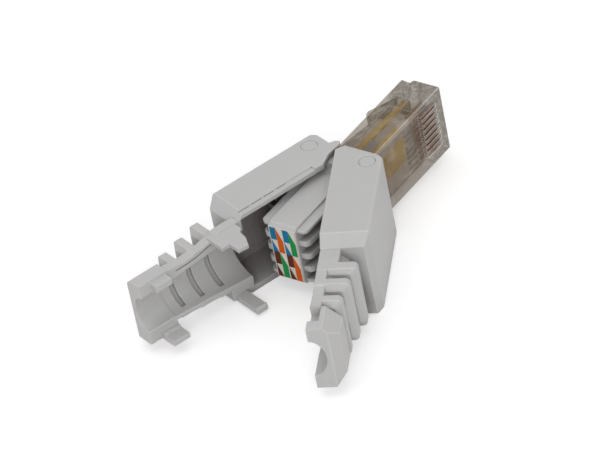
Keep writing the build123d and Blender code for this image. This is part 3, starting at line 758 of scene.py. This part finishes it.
@dataclass
class Sculpt:
    """A mesh in the making, in millimetres, that ends as an object of the plug."""

    name: str
    mesh: bmesh.types.BMesh = field(default_factory=bmesh.new)

    def block(self, low: tuple, high: tuple, radius: float = 0.0) -> None:
        """Add a box between two corners, with its edges rounded.

        Args:
            low: The lowest corner.
            high: The highest corner.
            radius: The radius of the rounding, or 0 for none.
        """
        size = Vector(high) - Vector(low)
        middle = (Vector(high) + Vector(low)) / 2
        place = Matrix.Translation(middle) @ Matrix.Diagonal((*size, 1.0))
        made = bmesh.ops.create_cube(self.mesh, size=1.0, matrix=place)
        if radius:
            edges = {edge for vert in made["verts"] for edge in vert.link_edges}
            bmesh.ops.bevel(
                self.mesh,
                geom=list(edges),
                offset=radius,
                segments=2,
                profile=0.5,
                affect="EDGES",
                material=-1,
            )

    def thicken(self, faces: list, step: Vector) -> list:
        """Give flat faces a thickness by extruding them.

        Args:
            faces: The faces.
            step: How far and which way they are extruded.

        Returns:
            The new vertices.
        """
        made = bmesh.ops.extrude_face_region(self.mesh, geom=faces)["geom"]
        moved = [part for part in made if isinstance(part, bmesh.types.BMVert)]
        bmesh.ops.translate(self.mesh, vec=step, verts=moved)
        return moved

    def ribbon(self, path: list[Vector], across: Vector, proud: Vector) -> None:
        """Add a thin ribbon that lies on a face.

        Args:
            path: The points along its middle.
            across: Its width, as a vector in the face.
            proud: Its thickness, as a vector out of the face.
        """
        ends = [self.mesh.verts.new(path[0] + across * share) for share in (-0.5, 0.5)]
        edge = self.mesh.edges.new(ends)
        faces = []
        for start, end in zip(path, path[1:]):
            grown = bmesh.ops.extrude_edge_only(self.mesh, edges=[edge])["geom"]
            moved = [part for part in grown if isinstance(part, bmesh.types.BMVert)]
            faces += [part for part in grown if isinstance(part, bmesh.types.BMFace)]
            bmesh.ops.translate(self.mesh, vec=end - start, verts=moved)
            edge = self.mesh.edges.get(moved)
        self.thicken(faces, proud)

    def finish(self, body: str, slot: str, finishes: list[Finish]) -> bpy.types.Object:
        """Turn the mesh into an object that rides on a CAD body.

        Args:
            body: The CAD body that carries it.
            slot: A material slot's name; not used.
            finishes: The finishes, in the order of the faces' material numbers.

        Returns:
            The object, at the origin with its place in its mesh.
        """
        bmesh.ops.scale(self.mesh, vec=(MM, MM, MM), verts=self.mesh.verts)
        bmesh.ops.recalc_face_normals(self.mesh, faces=self.mesh.faces)
        data = bpy.data.meshes.new(self.name)
        self.mesh.to_mesh(data)
        self.mesh.free()
        made = bpy.data.objects.new(self.name, data)
        bpy.context.scene.collection.objects.link(made)
        for finish in finishes:
            data.materials.append(finish.material())
        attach(made, body)
        log.info("%s made", self.name)
        return made


def dress(node: str, finish: Finish) -> None:
    """Give a CAD node its finish.

    Args:
        node: The node's name.
        finish: The finish that it gets all over.
    """
    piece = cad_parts[node]
    piece.data.materials.clear()
    piece.data.materials.append(finish.material())
    log.info("%s gets %s", node, finish.name)


@dataclass
class ClearNose:
    """The clear nose with its latch, its blades, its boards, their solder joints and its ribs."""

    contacts: int = 8
    pitch: float = 1.02
    board_face: float = -3.2
    joint_front: float = -7.3
    joint_back: float = -9.6
    joint_width: float = 0.42
    joint_height: float = 0.28
    joint_radius: float = 0.09
    # Each rib's name, its back and front X, and its low and high Y.
    ribs: tuple = (
        ("board_rib", -19.8, -6.4, -2.1, -0.5),
        ("latch_side_rib", -19.8, -8.6, 0.7, 1.6),
    )
    rib_half_height: float = 4.3
    rib_radius: float = 0.15

    def build(self) -> None:
        """Dress the nose's nodes and add the solder joints and the ribs."""
        dress("nose_shell", CLEAR_PC)
        dress("release_latch", CLEAR_PC)
        for number in range(self.contacts):
            dress(f"contact_{number + 1}", GOLD)
        dress("contact_board", CONTACT_MASK)
        dress("link_board", LINK_MASK)
        self.solder_joints()
        half = self.rib_half_height
        for name, back, front, low, high in self.ribs:
            rib = Sculpt(name)
            rib.block((back, low, -half), (front, high, half), self.rib_radius)
            rib.finish("plug", "clear_plastic", [FROSTED_PC])

    def solder_joints(self) -> None:
        """Make the row of solder joints behind the blades, as one object."""
        joints = Sculpt("solder_joints")
        half = self.joint_width / 2
        for number in range(self.contacts):
            level = self.pitch * (number - (self.contacts - 1) / 2)
            joints.block(
                (self.joint_back, self.board_face - self.joint_height, level - half),
                (self.joint_front, self.board_face, level + half),
                self.joint_radius,
            )
        joints.finish("plug", "tinned_contact", [TIN])


@dataclass
class WiringLabel:
    """The wiring-code label: two groups of two columns, each with four fields."""

    back: float = -37.92
    front: float = -37.8
    width: float = 4.7
    height: float = 9.6
    margin: float = 0.12
    group_gap: float = 0.16
    column_gap: float = 0.02
    ink_depth: float = 0.01
    rows: int = 4
    # Each column's two inks from the top down, and how the two fields of each ink are printed.
    columns: tuple = (
        ((Ink.BLUE, Ink.BROWN), (Print.SOLID, Print.STRIPED)),
        ((Ink.ORANGE, Ink.GREEN), (Print.STRIPED, Print.SOLID)),
        ((Ink.BLUE, Ink.BROWN), (Print.SOLID, Print.STRIPED)),
        ((Ink.GREEN, Ink.ORANGE), (Print.STRIPED, Print.SOLID)),
    )

    def build(self) -> None:
        """Make the label's paper and its printed fields."""
        label = Sculpt("wiring_label")
        half = self.width / 2
        label.block(
            (self.back + self.ink_depth, -half, -self.height / 2),
            (self.front, half, self.height / 2),
        )
        inks = list(Ink)
        for column, (pairs, styles) in enumerate(self.columns):
            fields = [(ink, style) for ink in pairs for style in styles]
            for row, (ink, style) in enumerate(fields):
                self.print_field(label, column, row, inks.index(ink) + 1, style)
        made = label.finish("plug", "printed_label", [PAPER, *(ink.finish() for ink in inks)])
        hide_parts("colour_label")

    def field_box(self, column: int, row: int) -> tuple[float, float, float, float]:
        """Work out where a field lies on the label.

        Args:
            column: The column, counted from the left as seen from behind the plug.
            row: The row, counted from the top.

        Returns:
            Its left and right Y, and its low and high Z.
        """
        room = self.width - 2 * self.margin - self.group_gap
        wide = room / len(self.columns)
        left = self.width / 2 - self.margin - wide * column
        left -= self.group_gap if column >= len(self.columns) / 2 else 0.0
        tall = (self.height - 2 * self.margin) / self.rows
        high = self.height / 2 - self.margin - tall * row
        return left, left - wide + self.column_gap, high - tall, high

    def print_field(self, label: Sculpt, column: int, row: int, number: int, style: Print) -> None:
        """Print one field as a thin film of ink, with its corner cut off if it is striped.

        Args:
            label: The label's mesh.
            column: The field's column.
            row: The field's row.
            number: The ink's material number.
            style: Whether the field is all ink or has a white corner.
        """
        left, right, low, high = self.field_box(column, row)
        corners = [(left, high), (left, low), (right, low)]
        if style is Print.SOLID:
            corners.append((right, high))
        verts = [label.mesh.verts.new((self.back, y, z)) for y, z in corners]
        face = label.mesh.faces.new(verts)
        moved = label.thicken([face], Vector((self.ink_depth, 0, 0)))
        film = {near for vert in [*verts, *moved] for near in vert.link_faces}
        for near in film:
            near.material_index = number


@dataclass
class CentreBody:
    """The white centre body with its label and its forks."""

    forks: int = 4
    label: WiringLabel = field(default_factory=WiringLabel)

    def build(self) -> None:
        """Dress the body and its forks, and make the label."""
        dress("centre_body", BODY_ABS)
        for side in Side:
            for number in range(self.forks):
                dress(f"wire_fork_{side.name.lower()}_{number + 1}", TIN)
        self.label.build()


@dataclass
class Wings:
    """The two hinged wings, and the two painted shadow lines that the left one shows.

    The shadow lines are drawn from the left hinge with the wing closed. spine_points are distances
    behind the hinge and heights, on the mating face. lip_points are the distances behind it where
    a dash of the lip's line begins; the last one is where the line ends.
    """

    # The left hinge's X and Y, and how many degrees its wing is open.
    hinge: tuple[float, float] = (-21.6, 5.3)
    left_open: float = 18.0
    mating_face: float = -5.27
    spine_points: tuple = ((21.8, 5.75), (23.7, 5.2), (26.4, 4.62), (28.0, 4.45), (30.3, 4.42))
    spine_width: float = 0.13
    lip_step: float = -4.37
    lip_floor: float = 7.08
    lip_points: tuple = (17.2, 14.6, 12.2, 9.8, 7.6)
    lip_gap: float = 0.5
    lip_width: float = 0.1
    proud: float = 0.02

    def build(self) -> None:
        """Dress both wings and lay the painted shadow lines on the left one."""
        for side in Side:
            dress(f"wing_{side.name.lower()}", WING_ABS)
        self.spine_slit_shadow()
        self.lip_shadow_line()

    def spine_slit_shadow(self) -> None:
        """Lay a painted shadow along the slit between the boot's spine plate and its tube."""
        slit = Sculpt("spine_slit_shadow")
        path = [Vector((-back, self.mating_face, height)) for back, height in self.spine_points]
        slit.ribbon(path, Vector((0, 0, self.spine_width)), Vector((0, -self.proud, 0)))
        self.shadow_strip(slit)

    def lip_shadow_line(self) -> None:
        """Lay a broken painted shadow line at the foot of the step along the plate's edge."""
        shadow_strip = Sculpt("lip_shadow_line")
        for start, end in zip(self.lip_points, self.lip_points[1:]):
            path = [
                Vector((-back, self.lip_step - self.lip_width / 2, self.lip_floor))
                for back in (start, end + self.lip_gap)
            ]
            shadow_strip.ribbon(path, Vector((0, -self.lip_width, 0)), Vector((0, 0, self.proud)))
        self.shadow_strip(shadow_strip)

    def shadow_strip(self, drawn: Sculpt) -> None:
        """Turn a painted shadow line with the open left wing and finish it.

        Args:
            drawn: The shadow line's mesh, about the left hinge, with the wing closed.
        """
        turn = Matrix.Rotation(-radians(self.left_open), 4, "Z")
        place = Matrix.Translation((*self.hinge, 0)) @ turn
        bmesh.ops.transform(drawn.mesh, matrix=place, verts=drawn.mesh.verts)
        drawn.finish("wing_left", "white_plastic", [GAP])


@dataclass(frozen=True)
class Softbox:
    """A square lamp with a soft light, aimed at the plug."""

    name: str
    place: tuple[float, float, float]
    size: float
    power: float

    def build(self, target: Vector) -> None:
        """Hang the lamp and aim it.

        Args:
            target: The point it shines at, in metres.
        """
        data = bpy.data.lights.new(self.name, "AREA")
        data.shape = "SQUARE"
        data.size = self.size * MM
        data.energy = self.power
        made = bpy.data.objects.new(self.name, data)
        made.location = Vector(self.place) * MM
        made.rotation_mode = "QUATERNION"
        made.rotation_quaternion = (target - made.location).to_track_quat("-Z", "Y")
        bpy.context.scene.collection.objects.link(made)


@dataclass
class Studio:
    """The floor, the lamps and the camera at the photograph's angle."""

    floor_level: float = -7.3
    floor_half: float = 1500.0
    eye: tuple[float, float, float] = (-508.59, -415.30, 478.86)
    aim: tuple[float, float, float] = (-33.12, 0.69, 0.0)
    roll: float = 11.88
    lens: float = 316.65
    sensor: float = 36.0
    # The nearest and the farthest the camera sees, in metres.
    clip: tuple[float, float] = (0.01, 20.0)
    world_shade: str = "#FFFFFF"
    world_level: float = 0.55
    lamps: tuple = (
        Softbox("top_softbox", (-60.0, 60.0, 420.0), size=380.0, power=0.5),
        Softbox("camera_softbox", (-440.0, -330.0, 260.0), size=240.0, power=1.05),
        Softbox("nose_side_softbox", (160.0, -420.0, 220.0), size=300.0, power=0.15),
    )

    def build(self) -> None:
        """Set the studio up."""
        self.floor()
        self.world()
        for lamp in self.lamps:
            lamp.build(Vector(self.aim) * MM)
        self.camera()
        bpy.context.scene.view_settings.view_transform = "Standard"

    def floor(self) -> None:
        """Lay the white sweep under the plug."""
        mesh = bmesh.new()
        place = Matrix.Translation((0, 0, self.floor_level * MM))
        bmesh.ops.create_grid(
            mesh, x_segments=1, y_segments=1, size=self.floor_half * MM, matrix=place
        )
        data = bpy.data.meshes.new("floor")
        mesh.to_mesh(data)
        mesh.free()
        data.materials.append(StudioFloor("studio_floor").material())
        made = bpy.data.objects.new("floor", data)
        bpy.context.scene.collection.objects.link(made)

    def world(self) -> None:
        """Fill the room with plain light that is white where it is looked at."""
        world = bpy.data.worlds.new("studio")
        bpy.context.scene.world = world
        world.use_nodes = True
        tree = world.node_tree
        tree.nodes.clear()
        level = remap(tree, backdrop_rays(tree), target=(self.world_level, 1.0))
        white = {"Color": linear(self.world_shade)}
        light = add_node(tree, "Background", white, {"Strength": level})
        add_node(tree, "OutputWorld", {}, {"Surface": light.outputs[0]})

    def camera(self) -> None:
        """Set the camera where the photograph was taken from."""
        data = bpy.data.cameras.new("camera")
        data.lens = self.lens
        data.sensor_width = self.sensor
        data.clip_start, data.clip_end = self.clip
        made = bpy.data.objects.new("camera", data)
        bpy.context.scene.collection.objects.link(made)
        eye = Vector(self.eye) * MM
        look = (Vector(self.aim) * MM - eye).to_track_quat("-Z", "Y")
        made.location = eye
        made.rotation_mode = "QUATERNION"
        made.rotation_quaternion = look @ Quaternion((0, 0, 1), -radians(self.roll))
        bpy.context.scene.camera = made


def main() -> None:
    """Dress the plug and set the studio up."""
    logging.basicConfig(level=logging.INFO)
    for assembly in (ClearNose(), CentreBody(), Wings(), Studio()):
        assembly.build()


if __name__ == "__main__":
    main()
